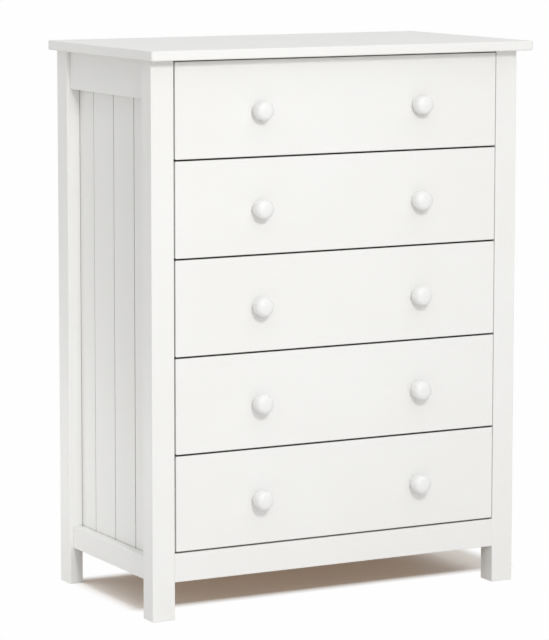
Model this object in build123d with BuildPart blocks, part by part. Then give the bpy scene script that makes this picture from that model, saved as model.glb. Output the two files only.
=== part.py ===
from build123d import *
import os

# Tall chest of drawers: a framed case on four square legs, tongue-and-groove boards in its
# sides, an overhanging top, and five drawers that hang on wooden runners.
# Millimetres. +Z is up, the drawers open towards -Y, and the origin is on the floor under
# the middle of the top. "inset" is measured inwards from the case's outer side face, and
# "depth" backwards from the case's front face.

# ---- Case ----
case_width = 770.0
case_depth = 405.0
case_height = 1022.0
rail_underside = 70.0

# ---- Top ----
top_thickness = 18.0
top_side_overhang = 15.0
top_front_overhang = 36.0
top_back_overhang = 9.0
top_corner_radius = 5.0
top_upper_edge_radius = 1.6
top_lower_edge_radius = 2.6

# ---- Posts ----
front_post_width = 45.0
front_post_depth = 40.0
rear_post_width = 26.0
rear_post_depth = 45.0
post_outer_edge_radius = 1.6
post_inner_edge_radius = 0.8

# ---- Rails and stretchers ----
side_rail_inset = 7.0
side_top_rail_height = 72.0
side_bottom_rail_height = 42.0
front_rail_height = 53.0
front_rail_thickness = 19.0
back_rail_height = 50.0
back_rail_thickness = 19.0
rail_edge_radius = 1.2
stretcher_thickness = 19.0
stretcher_depth = 55.0
stretcher_front_clearance = 8.0
tenon_length = 15.0
tenon_thickness = 9.0
tenon_shoulder = 10.0
stretcher_tenon_shoulder = 4.0
stretcher_tenon_wall = 1.0
mortise_clearance = 0.1

# ---- Side boards ----
board_thickness = 9.0
board_cover = 86.5
board_lift = 12.0
board_gap = 1.2
board_chamfer = 1.0
board_tongue_thickness = 3.0
board_tongue_length = 5.0
board_groove_clearance = 0.1
post_groove_depth = 8.0

# ---- Back panel ----
back_panel_thickness = 5.0
back_panel_rebate = 10.0

# ---- Drawer fronts ----
drawer_count = 5
front_thickness = 18.0
front_top_gap = 3.8
front_gap = 2.8
front_side_gap = 2.0
front_sideways = 1.0  # the fronts hang this far to the right of the middle
front_edge_radius = 2.0
front_corner_radius = 2.6

# ---- Drawer boxes ----
box_side_clearance = 5.0
box_side_thickness = 12.0
box_height = 135.0
box_lift = 14.0
box_rear_clearance = 14.0
box_back_thickness = 12.0
box_back_drop = 10.0
box_edge_radius = 1.5
box_housing_depth = 6.0
box_back_housing_depth = 3.0
box_bottom_thickness = 4.0
box_bottom_lift = 8.0
box_groove_depth = 6.0
box_joint_clearance = 0.1

# ---- Runners ----
runner_height = 16.0
runner_lift = 60.0
runner_groove_depth = 7.0
runner_side_clearance = 1.0
runner_top_clearance = 0.3
runner_bottom_clearance = 1.7
runner_stop_gap = 0.4

# ---- Knobs ----
knob_spacing = 336.0
knob_radius = 18.0
knob_projection = 35.0
knob_drop = 3.5
knob_neck_radius = 8.5
knob_neck_length = 4.0
knob_foot_radius = 10.5
knob_foot_thickness = 2.0
knob_dome_height = 14.0
knob_face_fullness = 0.78
knob_under_fullness = 0.8
knob_bore_depth = 12.0

# ---- Fasteners ----
screw_hole_clearance = 0.15
knob_screw_radius = 2.0
knob_screw_grip = 10.0
knob_screw_head_radius = 4.0
knob_screw_head_height = 2.6
wood_screw_radius = 2.0
wood_screw_head_radius = 3.9
wood_screw_head_depth = 2.2
wood_screw_point = 4.0
runner_screw_length = 40.0
top_screw_length = 30.0
top_screw_count = 3
top_screw_margin = 90.0
nail_radius = 0.8
nail_length = 17.0
nail_head_radius = 2.0
nail_head_thickness = 0.8
nail_side_count = 7
nail_rail_count = 4
nail_end_margin = 45.0

# ---- Places that follow from the sizes ----
top_width = case_width + 2 * top_side_overhang
top_depth = case_depth + top_front_overhang + top_back_overhang
case_front = top_front_overhang - top_depth / 2
rear_post_front = case_depth - rear_post_depth
back_panel_front = case_depth - back_panel_thickness
back_rail_front = back_panel_front - back_rail_thickness
rail_top = rail_underside + front_rail_height
stretcher_bottom = case_height - stretcher_thickness
front_stretcher_front = front_thickness + stretcher_front_clearance
rear_stretcher_front = back_panel_front - stretcher_depth
opening_width = case_width - 2 * front_post_width
front_width = opening_width - 2 * front_side_gap
front_stack_top = case_height - front_top_gap
front_height = (front_stack_top - rail_top - drawer_count * front_gap) / drawer_count
board_inner_inset = rear_post_width + board_thickness
board_bottom = rail_underside + board_lift
board_span = back_rail_front - front_post_depth
board_count = max(1, round(board_span / board_cover))
box_inset = front_post_width + box_side_clearance
box_inner_inset = box_inset + box_side_thickness
box_rear = back_rail_front - box_rear_clearance
runner_inner_inset = box_inset + runner_groove_depth - runner_side_clearance
runner_front = front_thickness + runner_stop_gap
front_screw_depth = (runner_front + front_post_depth - post_groove_depth) / 2
rear_screw_depth = (rear_post_front + back_rail_front) / 2
knob_widest = knob_projection - knob_dome_height

LEFT = -1
RIGHT = 1
SIDE_NAMES = {LEFT: "left", RIGHT: "right"}


def x_at(side, inset):
    """X of a plane that lies inset from the case's outer face on one side."""
    return side * (case_width / 2 - inset)


def y_at(depth):
    """Y of a plane that lies depth behind the case's front face."""
    return case_front + depth


def widened(span, amount):
    """The span (low, high) grown by amount at both ends."""
    return (min(span) - amount, max(span) + amount)


def block(xs, ys, zs, mode=Mode.ADD):
    """A rectangular block between two corners, in the piece that is being built."""
    middle = ((xs[0] + xs[1]) / 2, (ys[0] + ys[1]) / 2, (zs[0] + zs[1]) / 2)
    with Locations(middle):
        Box(abs(xs[1] - xs[0]), abs(ys[1] - ys[0]), abs(zs[1] - zs[0]), mode=mode)


def cut(spans):
    """Cut blocks, each given as its three spans, out of the piece that is being built."""
    for xs, ys, zs in spans:
        block(xs, ys, zs, mode=Mode.SUBTRACT)


def drill(centres, direction, radius, depth):
    """Blind holes that start at each centre and run along direction."""
    for centre in centres:
        with Locations(Plane(origin=centre, z_dir=direction)):
            Cylinder(radius, depth, align=(Align.CENTER, Align.CENTER, Align.MIN), mode=Mode.SUBTRACT)


def countersink(centres, direction):
    """Conical seats for the wood screws' heads, with their wide end at each centre."""
    for centre in centres:
        with Locations(Plane(origin=centre, z_dir=direction)):
            Cone(
                wood_screw_head_radius + screw_hole_clearance,
                wood_screw_radius + screw_hole_clearance,
                wood_screw_head_depth + screw_hole_clearance,
                align=(Align.CENTER, Align.CENTER, Align.MIN),
                mode=Mode.SUBTRACT,
            )


# ---- Levels of the drawers and of their runners ----
def front_bottom(drawer):
    """Lower edge of a drawer's front. Drawer 1 is the top one."""
    return front_stack_top - drawer * front_height - (drawer - 1) * front_gap


def box_bottom(drawer):
    """Lower edge of a drawer's sides."""
    return front_bottom(drawer) + box_lift


def knob_level(drawer):
    """Height of the knobs' axes, a little under the middle of the drawer's front."""
    return front_bottom(drawer) + front_height / 2 - knob_drop


def runner_level(drawer):
    """Height of the middle of a drawer's runners."""
    return box_bottom(drawer) + runner_lift + runner_height / 2


DRAWERS = range(1, drawer_count + 1)


# ---- Mortise-and-tenon joints: each span is the tenon's, and its mortise is wider ----
def side_rail_heights():
    """The (bottom, top) of the lower and the upper side rail."""
    lower = (rail_underside, rail_underside + side_bottom_rail_height)
    upper = (case_height - side_top_rail_height, case_height)
    return lower, upper


def side_tenon(side, depth_span, heights):
    """A side rail's tenon between two depths."""
    middle = (side_rail_inset + rear_post_width) / 2
    insets = (middle - tenon_thickness / 2, middle + tenon_thickness / 2)
    xs = (x_at(side, insets[0]), x_at(side, insets[1]))
    ys = (y_at(depth_span[0]), y_at(depth_span[1]))
    return xs, ys, (heights[0] + tenon_shoulder, heights[1] - tenon_shoulder)


def side_front_tenon(side, heights):
    return side_tenon(side, (front_post_depth - tenon_length, front_post_depth), heights)


def side_rear_tenon(side, heights):
    return side_tenon(side, (rear_post_front, rear_post_front + tenon_length), heights)


def cross_tenon(side, post_width, front_depth, thickness, heights):
    """The tenon of a rail that runs from post to post, at one end of it."""
    xs = (x_at(side, post_width - tenon_length), x_at(side, post_width))
    shoulder = (thickness - tenon_thickness) / 2
    ys = (y_at(front_depth + shoulder), y_at(front_depth + thickness - shoulder))
    return xs, ys, (heights[0] + tenon_shoulder, heights[1] - tenon_shoulder)


def front_rail_tenon(side):
    return cross_tenon(side, front_post_width, 0, front_rail_thickness, (rail_underside, rail_top))


def back_rail_tenon(side):
    heights = (rail_underside, rail_underside + back_rail_height)
    return cross_tenon(side, rear_post_width, back_rail_front, back_rail_thickness, heights)


def stretcher_tenon(side, post_width, depth_span):
    """A flat stretcher's tenon, between two depths."""
    xs = (x_at(side, post_width - tenon_length), x_at(side, post_width))
    ys = (y_at(depth_span[0]), y_at(depth_span[1]))
    zs = (stretcher_bottom + stretcher_tenon_shoulder, case_height - stretcher_tenon_shoulder)
    return xs, ys, zs


def front_stretcher_tenon(side):
    groove_front = front_post_depth - post_groove_depth
    depths = (front_stretcher_front, groove_front - mortise_clearance - stretcher_tenon_wall)
    return stretcher_tenon(side, front_post_width, depths)


def rear_stretcher_tenon(side):
    shoulder = (back_rail_thickness - tenon_thickness) / 2
    depths = (back_rail_front + shoulder, back_panel_front - shoulder)
    return stretcher_tenon(side, rear_post_width, depths)


def mortise(tenon):
    """The pocket that takes a tenon, a little wider all round."""
    return tuple(widened(span, mortise_clearance) for span in tenon)


# ---- Places of the fasteners ----
def runner_screw_heads(side, depth):
    """Where the runner screws' heads lie, flush in the runners' inner faces."""
    return [(x_at(side, runner_inner_inset), y_at(depth), runner_level(d)) for d in DRAWERS]


def spread(low, high, count):
    """Evenly spaced places from low to high."""
    if count == 1:
        return [(low + high) / 2]
    return [low + (high - low) * i / (count - 1) for i in range(count)]


def top_screw_heads(stretcher_front):
    """Where the top screws' heads lie, flush in a stretcher's underside."""
    reach = opening_width / 2 - top_screw_margin
    middle = y_at(stretcher_front + stretcher_depth / 2)
    return [(x, middle, stretcher_bottom) for x in spread(-reach, reach, top_screw_count)]


def nail_places():
    """Where the nails enter the back panel: down both posts, the back rail and the stretcher."""
    edge = case_width / 2 - rear_post_width + back_panel_rebate / 2
    levels = spread(rail_underside + nail_end_margin, case_height - nail_end_margin, nail_side_count)
    across = spread(-edge, edge, nail_rail_count + 2)[1:-1]
    rows = (rail_underside + back_rail_height / 2, case_height - stretcher_thickness / 2)
    on_posts = [(side * edge, y_at(case_depth), z) for side in (LEFT, RIGHT) for z in levels]
    on_rails = [(x, y_at(case_depth), z) for z in rows for x in across]
    return on_posts + on_rails


def drill_nail_holes():
    """Holes for every nail that crosses the piece that is being built."""
    drill(nail_places(), (0, -1, 0), nail_radius + screw_hole_clearance, nail_length + screw_hole_clearance)


# ---- Top ----
def make_top_panel():
    with BuildPart() as top:
        with BuildSketch(Plane.XY.offset(case_height)):
            RectangleRounded(top_width, top_depth, top_corner_radius)
        extrude(amount=top_thickness)
        fillet(top.faces().sort_by(Axis.Z)[-1].edges(), top_upper_edge_radius)
        fillet(top.faces().sort_by(Axis.Z)[0].edges(), top_lower_edge_radius)
        heads = top_screw_heads(front_stretcher_front) + top_screw_heads(rear_stretcher_front)
        depth = top_screw_length + screw_hole_clearance
        drill(heads, (0, 0, 1), wood_screw_radius + screw_hole_clearance, depth)
    return top.part


# ---- Posts ----
def ease_post(post, side):
    """Round the post's two outer long edges, and its two inner ones a little less."""
    edges = post.edges().filter_by(Axis.Z).sort_by(Axis.X, reverse=side == RIGHT)
    fillet(edges[:2], post_outer_edge_radius)
    fillet(edges[2:], post_inner_edge_radius)


def make_front_post(side):
    with BuildPart() as post:
        block(
            (x_at(side, 0), x_at(side, front_post_width)),
            (y_at(0), y_at(front_post_depth)),
            (0, case_height),
        )
        ease_post(post, side)
        tenons = [side_front_tenon(side, heights) for heights in side_rail_heights()]
        tenons += [front_rail_tenon(side), front_stretcher_tenon(side)]
        cut([mortise(tenon) for tenon in tenons])
        board_xs = (x_at(side, rear_post_width), x_at(side, board_inner_inset))
        board_ys = (y_at(front_post_depth - post_groove_depth), y_at(front_post_depth))
        cut([(widened(board_xs, board_groove_clearance), board_ys, (board_bottom, case_height))])
        drill(
            runner_screw_heads(side, front_screw_depth),
            (side, 0, 0),
            wood_screw_radius + screw_hole_clearance,
            runner_screw_length + screw_hole_clearance,
        )
    return post.part


def make_rear_post(side):
    with BuildPart() as post:
        block(
            (x_at(side, 0), x_at(side, rear_post_width)),
            (y_at(rear_post_front), y_at(case_depth)),
            (0, case_height),
        )
        ease_post(post, side)
        rebate_xs = (x_at(side, rear_post_width - back_panel_rebate), x_at(side, rear_post_width))
        cut([(rebate_xs, (y_at(back_panel_front), y_at(case_depth)), (rail_underside, case_height))])
        tenons = [side_rear_tenon(side, heights) for heights in side_rail_heights()]
        tenons += [back_rail_tenon(side), rear_stretcher_tenon(side)]
        cut([mortise(tenon) for tenon in tenons])
        drill(
            runner_screw_heads(side, rear_screw_depth),
            (side, 0, 0),
            wood_screw_radius + screw_hole_clearance,
            runner_screw_length + screw_hole_clearance,
        )
        drill_nail_holes()
    return post.part


# ---- Rails and stretchers ----
def make_side_rail(side, heights):
    xs = (x_at(side, side_rail_inset), x_at(side, rear_post_width))
    with BuildPart() as rail:
        block(xs, (y_at(front_post_depth), y_at(rear_post_front)), heights)
        outer_face = rail.faces().sort_by(Axis.X, reverse=side == RIGHT)[0]
        fillet(outer_face.edges().filter_by(Axis.Y), rail_edge_radius)
        block(*side_front_tenon(side, heights))
        block(*side_rear_tenon(side, heights))
    return rail.part


def make_front_bottom_rail():
    with BuildPart() as rail:
        block(
            (x_at(LEFT, front_post_width), x_at(RIGHT, front_post_width)),
            (y_at(0), y_at(front_rail_thickness)),
            (rail_underside, rail_top),
        )
        fillet(rail.faces().sort_by(Axis.Y)[0].edges().filter_by(Axis.X), rail_edge_radius)
        for side in (LEFT, RIGHT):
            block(*front_rail_tenon(side))
    return rail.part


def make_back_bottom_rail():
    with BuildPart() as rail:
        block(
            (x_at(LEFT, rear_post_width), x_at(RIGHT, rear_post_width)),
            (y_at(back_rail_front), y_at(back_panel_front)),
            (rail_underside, rail_underside + back_rail_height),
        )
        for side in (LEFT, RIGHT):
            block(*back_rail_tenon(side))
        drill_nail_holes()
    return rail.part


def make_front_stretcher():
    heads = top_screw_heads(front_stretcher_front)
    with BuildPart() as stretcher:
        block(
            (x_at(LEFT, front_post_width), x_at(RIGHT, front_post_width)),
            (y_at(front_stretcher_front), y_at(front_stretcher_front + stretcher_depth)),
            (stretcher_bottom, case_height),
        )
        for side in (LEFT, RIGHT):
            block(*front_stretcher_tenon(side))
        drill(heads, (0, 0, 1), wood_screw_radius + screw_hole_clearance, stretcher_thickness)
        countersink(heads, (0, 0, 1))
    return stretcher.part


def make_rear_stretcher():
    heads = top_screw_heads(rear_stretcher_front)
    with BuildPart() as stretcher:
        block(
            (x_at(LEFT, board_inner_inset), x_at(RIGHT, board_inner_inset)),
            (y_at(rear_stretcher_front), y_at(back_panel_front)),
            (stretcher_bottom, case_height),
        )
        block(
            (x_at(LEFT, rear_post_width), x_at(RIGHT, rear_post_width)),
            (y_at(back_rail_front), y_at(back_panel_front)),
            (stretcher_bottom, case_height),
        )
        for side in (LEFT, RIGHT):
            block(*rear_stretcher_tenon(side))
        drill(heads, (0, 0, 1), wood_screw_radius + screw_hole_clearance, stretcher_thickness)
        countersink(heads, (0, 0, 1))
        drill_nail_holes()
    return stretcher.part


# ---- Side boards ----
def board_outline(front, rear, first, last):
    """One board's (inset, depth) outline: grooved in front and tongued behind.

    The first board has a plain front edge, let into the front post, and the last one a
    plain rear edge. Where two boards meet, both outer edges are chamfered to a V.
    """
    outer = rear_post_width
    inner = board_inner_inset
    middle = (outer + inner) / 2
    half_tongue = board_tongue_thickness / 2
    half_groove = half_tongue + board_groove_clearance
    groove_end = front + board_tongue_length + board_gap
    tongue_end = rear + board_tongue_length
    front_edge = [(outer, front), (inner, front)]
    if not first:
        front_edge = [
            (outer, front + board_chamfer),
            (outer + board_chamfer, front),
            (middle - half_groove, front),
            (middle - half_groove, groove_end),
            (middle + half_groove, groove_end),
            (middle + half_groove, front),
            (inner, front),
        ]
    rear_edge = [(inner, rear), (outer, rear)]
    if not last:
        rear_edge = [
            (inner, rear),
            (middle + half_tongue, rear),
            (middle + half_tongue, tongue_end),
            (middle - half_tongue, tongue_end),
            (middle - half_tongue, rear),
            (outer + board_chamfer, rear),
            (outer, rear - board_chamfer),
        ]
    return front_edge + rear_edge


def make_side_boards(side):
    with BuildPart() as boards:
        for number in range(board_count):
            first = number == 0
            last = number == board_count - 1
            front = front_post_depth + number * board_cover
            if first:
                front = front_post_depth - post_groove_depth + board_groove_clearance
            rear = back_rail_front if last else front_post_depth + (number + 1) * board_cover - board_gap
            outline = board_outline(front, rear, first, last)
            with BuildSketch(Plane.XY.offset(board_bottom)):
                with BuildLine():
                    Polyline(*[(x_at(side, inset), y_at(depth)) for inset, depth in outline], close=True)
                make_face()
            extrude(amount=case_height - board_bottom)
        drill(
            runner_screw_heads(side, rear_screw_depth),
            (side, 0, 0),
            wood_screw_radius + screw_hole_clearance,
            runner_screw_length,
        )
    return boards.part


# ---- Back panel ----
def make_back_panel():
    inset = rear_post_width - back_panel_rebate
    with BuildPart() as panel:
        block(
            (x_at(LEFT, inset), x_at(RIGHT, inset)),
            (y_at(back_panel_front), y_at(case_depth)),
            (rail_underside, case_height),
        )
        drill_nail_holes()
    return panel.part


# ---- Runners ----
def make_runners(side):
    """Notched battens: thick behind the front post, and lapped thinner over its inner face."""
    with BuildPart() as runners:
        for drawer in DRAWERS:
            zs = (runner_level(drawer) - runner_height / 2, runner_level(drawer) + runner_height / 2)
            inner = x_at(side, runner_inner_inset)
            block((x_at(side, front_post_width), inner), (y_at(runner_front), y_at(front_post_depth)), zs)
            block((x_at(side, board_inner_inset), inner), (y_at(front_post_depth), y_at(back_rail_front)), zs)
        for depth in (front_screw_depth, rear_screw_depth):
            heads = runner_screw_heads(side, depth)
            drill(heads, (side, 0, 0), wood_screw_radius + screw_hole_clearance, runner_screw_length)
            countersink(heads, (side, 0, 0))
    return runners.part


# ---- Fasteners ----
def wood_screw_outline(length):
    """Half of a countersunk screw's section as (radius, distance from the head's face)."""
    return [
        (0, 0),
        (wood_screw_head_radius, 0),
        (wood_screw_radius, wood_screw_head_depth),
        (wood_screw_radius, length - wood_screw_point),
        (0, length),
    ]


def knob_screw_outline():
    """Half of a pan-headed machine screw's section as (radius, distance past the front)."""
    tip = front_thickness + knob_screw_grip
    return [
        (0, -knob_screw_head_height),
        (knob_screw_head_radius, -knob_screw_head_height),
        (knob_screw_head_radius, 0),
        (knob_screw_radius, 0),
        (knob_screw_radius, tip),
        (0, tip),
    ]


def nail_outline():
    """Half of a flat-headed nail's section as (radius, distance into the panel)."""
    return [
        (0, -nail_head_thickness),
        (nail_head_radius, -nail_head_thickness),
        (nail_head_radius, 0),
        (nail_radius, 0),
        (nail_radius, nail_length),
        (0, nail_length),
    ]


def make_turned_group(outline, places):
    """One turned solid for each (place, direction), from the same half section."""
    with BuildPart() as group:
        for place, direction in places:
            along = Vector(*direction)
            across = Vector(1, 0, 0) if abs(along.X) < 0.5 else Vector(0, 0, 1)
            with BuildSketch(Plane(origin=place, x_dir=across, z_dir=across.cross(along))):
                with BuildLine():
                    Polyline(*outline, close=True)
                make_face()
            revolve(axis=Axis(place, direction))
    return group.part


def make_runner_screws():
    places = []
    for side in (LEFT, RIGHT):
        for depth in (front_screw_depth, rear_screw_depth):
            places += [(head, (side, 0, 0)) for head in runner_screw_heads(side, depth)]
    return make_turned_group(wood_screw_outline(runner_screw_length), places)


def make_top_screws():
    heads = top_screw_heads(front_stretcher_front) + top_screw_heads(rear_stretcher_front)
    return make_turned_group(wood_screw_outline(top_screw_length), [(head, (0, 0, 1)) for head in heads])


def make_back_panel_nails():
    return make_turned_group(nail_outline(), [(place, (0, -1, 0)) for place in nail_places()])


# ---- Drawers ----
def knob_places(drawer, depth):
    """The two knobs' axes where they cross a depth."""
    return [(side * knob_spacing / 2, y_at(depth), knob_level(drawer)) for side in (LEFT, RIGHT)]


def box_side_span(side, grown=0.0):
    """X span of a drawer side's thickness."""
    return widened((x_at(side, box_inset), x_at(side, box_inner_inset)), grown)


def bottom_levels(drawer, grown=0.0):
    """Z span of a drawer's bottom panel."""
    low = box_bottom(drawer) + box_bottom_lift
    return widened((low, low + box_bottom_thickness), grown)


def bottom_groove(drawer, xs, ys):
    """The groove for the bottom panel across two spans."""
    return xs, ys, bottom_levels(drawer, box_joint_clearance)


def make_drawer_front(drawer):
    low = front_bottom(drawer)
    housing_ys = (y_at(front_thickness - box_housing_depth), y_at(front_thickness))
    groove_ys = (y_at(front_thickness - box_groove_depth), y_at(front_thickness))
    with BuildPart() as front:
        block(
            (front_sideways - front_width / 2, front_sideways + front_width / 2),
            (y_at(0), y_at(front_thickness)),
            (low, low + front_height),
        )
        fillet(front.edges().filter_by(Axis.Y), front_corner_radius)
        fillet(front.faces().sort_by(Axis.Y)[0].edges(), front_edge_radius)
        for side in (LEFT, RIGHT):
            zs = widened((box_bottom(drawer), box_bottom(drawer) + box_height), box_joint_clearance)
            cut([(box_side_span(side, box_joint_clearance), housing_ys, zs)])
        groove_xs = (x_at(LEFT, box_inner_inset), x_at(RIGHT, box_inner_inset))
        cut([bottom_groove(drawer, groove_xs, groove_ys)])
        holes = knob_places(drawer, front_thickness)
        drill(holes, (0, -1, 0), knob_screw_radius + screw_hole_clearance, front_thickness)
    return front.part


def make_drawer_side(drawer, side):
    low = box_bottom(drawer)
    ys = (y_at(front_thickness - box_housing_depth), y_at(box_rear))
    inner_face = x_at(side, box_inner_inset)
    back_ys = (y_at(box_rear - box_back_thickness), y_at(box_rear))
    with BuildPart() as board:
        block(box_side_span(side), ys, (low, low + box_height))
        fillet(board.faces().sort_by(Axis.Z)[-1].edges().filter_by(Axis.Y), box_edge_radius)
        groove_xs = (x_at(side, box_inset), x_at(side, box_inset + runner_groove_depth))
        groove_zs = (
            runner_level(drawer) - runner_height / 2 - runner_bottom_clearance,
            runner_level(drawer) + runner_height / 2 + runner_top_clearance,
        )
        cut([(groove_xs, ys, groove_zs)])
        cut([bottom_groove(drawer, (inner_face, x_at(side, box_inner_inset - box_groove_depth)), ys)])
        housing_xs = (inner_face, x_at(side, box_inner_inset - box_back_housing_depth))
        cut([(housing_xs, widened(back_ys, box_joint_clearance), (low, low + box_height))])
    return board.part


def make_drawer_back(drawer):
    inset = box_inner_inset - box_back_housing_depth + box_joint_clearance
    zs = (max(bottom_levels(drawer)), box_bottom(drawer) + box_height - box_back_drop)
    with BuildPart() as board:
        block(
            (x_at(LEFT, inset), x_at(RIGHT, inset)),
            (y_at(box_rear - box_back_thickness), y_at(box_rear)),
            zs,
        )
        upper = board.faces().sort_by(Axis.Z)[-1]
        fillet(upper.edges().filter_by(Axis.X), box_edge_radius)
    return board.part


def make_drawer_bottom(drawer):
    inset = box_inner_inset - box_groove_depth + box_joint_clearance
    front = front_thickness - box_groove_depth + box_joint_clearance
    reach = x_at(RIGHT, box_inner_inset) - box_joint_clearance
    zs = bottom_levels(drawer)
    with BuildPart() as panel:
        block((x_at(LEFT, inset), x_at(RIGHT, inset)), (y_at(front_thickness), y_at(box_rear)), zs)
        block((-reach, reach), (y_at(front), y_at(front_thickness)), zs)
    return panel.part


def full_quarter(start, corner, end, fullness):
    """A quarter turn from start to end, tangent to both legs of the corner.

    Fullness is the share of each leg that the curve's handle takes: 0.55 draws an ellipse, more is fuller.
    """
    handles = [tuple(p + fullness * (c - p) for p, c in zip(q, corner)) for q in (start, end)]
    Bezier(start, *handles, end)


def make_knobs(drawer):
    """Turned knobs: a foot, a waisted neck and a mushroom head with a full, domed face."""
    bore = knob_screw_radius + screw_hole_clearance
    neck_end = knob_foot_thickness + knob_neck_length
    neck = (knob_neck_radius, neck_end)
    widest = (knob_radius, knob_widest)
    with BuildPart() as knobs:
        for place in knob_places(drawer, 0):
            with BuildSketch(Plane(origin=place, x_dir=(1, 0, 0), z_dir=(0, 0, -1))):
                with BuildLine():
                    Line((bore, 0), (knob_foot_radius, 0))
                    Line((knob_foot_radius, 0), (knob_neck_radius, knob_foot_thickness))
                    Line((knob_neck_radius, knob_foot_thickness), neck)
                    full_quarter(neck, (knob_radius, neck_end), widest, knob_under_fullness)
                    full_quarter(widest, (knob_radius, knob_projection), (0, knob_projection), knob_face_fullness)
                    Line((0, knob_projection), (0, knob_bore_depth))
                    Line((0, knob_bore_depth), (bore, knob_bore_depth))
                    Line((bore, knob_bore_depth), (bore, 0))
                make_face()
            revolve(axis=Axis(place, (0, -1, 0)))
    return knobs.part


def make_knob_screws(drawer):
    places = [(place, (0, -1, 0)) for place in knob_places(drawer, front_thickness)]
    return make_turned_group(knob_screw_outline(), places)


# ---- All pieces, and their files ----
def case_pieces():
    lower, upper = side_rail_heights()
    pieces = {
        "top_panel": make_top_panel(),
        "front_bottom_rail": make_front_bottom_rail(),
        "back_bottom_rail": make_back_bottom_rail(),
        "top_stretcher_front": make_front_stretcher(),
        "top_stretcher_rear": make_rear_stretcher(),
        "back_panel": make_back_panel(),
        "runner_screws": make_runner_screws(),
        "top_screws": make_top_screws(),
        "back_panel_nails": make_back_panel_nails(),
    }
    for side, name in SIDE_NAMES.items():
        pieces[f"front_post_{name}"] = make_front_post(side)
        pieces[f"rear_post_{name}"] = make_rear_post(side)
        pieces[f"side_top_rail_{name}"] = make_side_rail(side, upper)
        pieces[f"side_bottom_rail_{name}"] = make_side_rail(side, lower)
        pieces[f"side_boards_{name}"] = make_side_boards(side)
        pieces[f"runners_{name}"] = make_runners(side)
    return pieces


def drawer_pieces(drawer):
    pieces = {
        f"drawer_{drawer}_front": make_drawer_front(drawer),
        f"drawer_{drawer}_back": make_drawer_back(drawer),
        f"drawer_{drawer}_bottom": make_drawer_bottom(drawer),
        f"drawer_{drawer}_knobs": make_knobs(drawer),
        f"drawer_{drawer}_knob_screws": make_knob_screws(drawer),
    }
    for side, name in SIDE_NAMES.items():
        pieces[f"drawer_{drawer}_side_{name}"] = make_drawer_side(drawer, side)
    return pieces


os.makedirs("parts", exist_ok=True)
pieces = case_pieces()
for drawer in DRAWERS:
    pieces.update(drawer_pieces(drawer))
for name, part in pieces.items():
    part.label = name
    export_step(part, f"parts/{name}.step")
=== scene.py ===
"""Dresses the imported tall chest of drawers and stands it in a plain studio.

The painted outside and the fasteners are rebuilt as eased, smooth-shaded pieces. The rear posts and the bare
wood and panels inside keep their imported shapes. Every surface has a procedural finish. Lengths are in
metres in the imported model's frame: +Z is up, the drawers open towards -Y and the floor is at zero.
"""

import logging
import math
from abc import ABC, abstractmethod
from dataclasses import dataclass, field
from enum import Enum
from functools import cached_property
from typing import Any, Iterable, Sequence

import bpy
import numpy as np
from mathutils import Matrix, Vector


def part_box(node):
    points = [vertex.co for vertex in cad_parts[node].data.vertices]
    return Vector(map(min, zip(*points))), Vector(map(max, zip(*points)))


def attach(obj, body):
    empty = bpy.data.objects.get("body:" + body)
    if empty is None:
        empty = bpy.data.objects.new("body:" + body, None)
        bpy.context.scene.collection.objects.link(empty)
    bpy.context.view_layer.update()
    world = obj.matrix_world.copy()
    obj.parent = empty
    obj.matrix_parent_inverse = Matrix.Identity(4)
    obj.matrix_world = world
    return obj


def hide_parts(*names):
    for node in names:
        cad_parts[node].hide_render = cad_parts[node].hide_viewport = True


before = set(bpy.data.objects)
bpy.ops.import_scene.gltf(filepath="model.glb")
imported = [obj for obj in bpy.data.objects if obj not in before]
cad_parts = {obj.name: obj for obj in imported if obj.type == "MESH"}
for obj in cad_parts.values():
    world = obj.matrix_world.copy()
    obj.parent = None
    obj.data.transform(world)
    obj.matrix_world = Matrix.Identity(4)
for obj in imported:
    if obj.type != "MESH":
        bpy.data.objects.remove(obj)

LOG = logging.getLogger("chest")
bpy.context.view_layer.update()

MM = 0.001
LEAST = 1e-12  # keeps a divisor off zero
ELLIPSE = 0.5523  # the handles' share of the legs at which a cubic curve draws an ellipse
METAL_SHARP = math.radians(28)
NOISE_SPAN = (0.3, 0.7)  # where nearly all of a noise texture's values lie
FLECK_SPAN = (0.35, 0.65)  # a narrower span, for harder flecks
WHITE = (1.0, 1.0, 1.0)
DRAWERS = 5

Array = np.ndarray
Reals = Sequence[float]
Pair = tuple[float, float]
Triple = tuple[float, float, float]
Colour = Triple
Socket = bpy.types.NodeSocket
Node = bpy.types.Node
Object = bpy.types.Object


class Side(Enum):
    """The chest's two sides, as seen by someone who faces its front."""

    LEFT = -1
    RIGHT = 1

    @property
    def word(self) -> str:
        """The side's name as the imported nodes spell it."""
        return self.name.lower()


class Grain(Enum):
    """The direction that the wood's fibres run in, as a turn that brings it onto +Z."""

    ALONG_X = (0.0, -math.pi / 2, 0.0)
    ALONG_Y = (math.pi / 2, 0.0, 0.0)
    ALONG_Z = (0.0, 0.0, 0.0)


# Surfaces


@dataclass(frozen=True)
class Placement:
    """Where a shape's own u, v and w directions lie in the model's frame."""

    origin: Reals
    u: Reals
    v: Reals
    w: Reals

    @property
    def axes(self) -> Array:
        """The three directions as the rows of a matrix."""
        return np.array([self.u, self.v, self.w], float)

    def points(self, local: Array) -> Array:
        """Origin plus u, v and w times the local coordinates."""
        return np.asarray(self.origin, float) + local @ self.axes


UPRIGHT = Placement((0, 0, 0), (1, 0, 0), (0, 1, 0), (0, 0, 1))
ACROSS = Placement((0, 0, 0), (0, 1, 0), (0, 0, 1), (1, 0, 0))
FORE_AND_AFT = Placement((0, 0, 0), (0, 0, 1), (1, 0, 0), (0, 1, 0))


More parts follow.
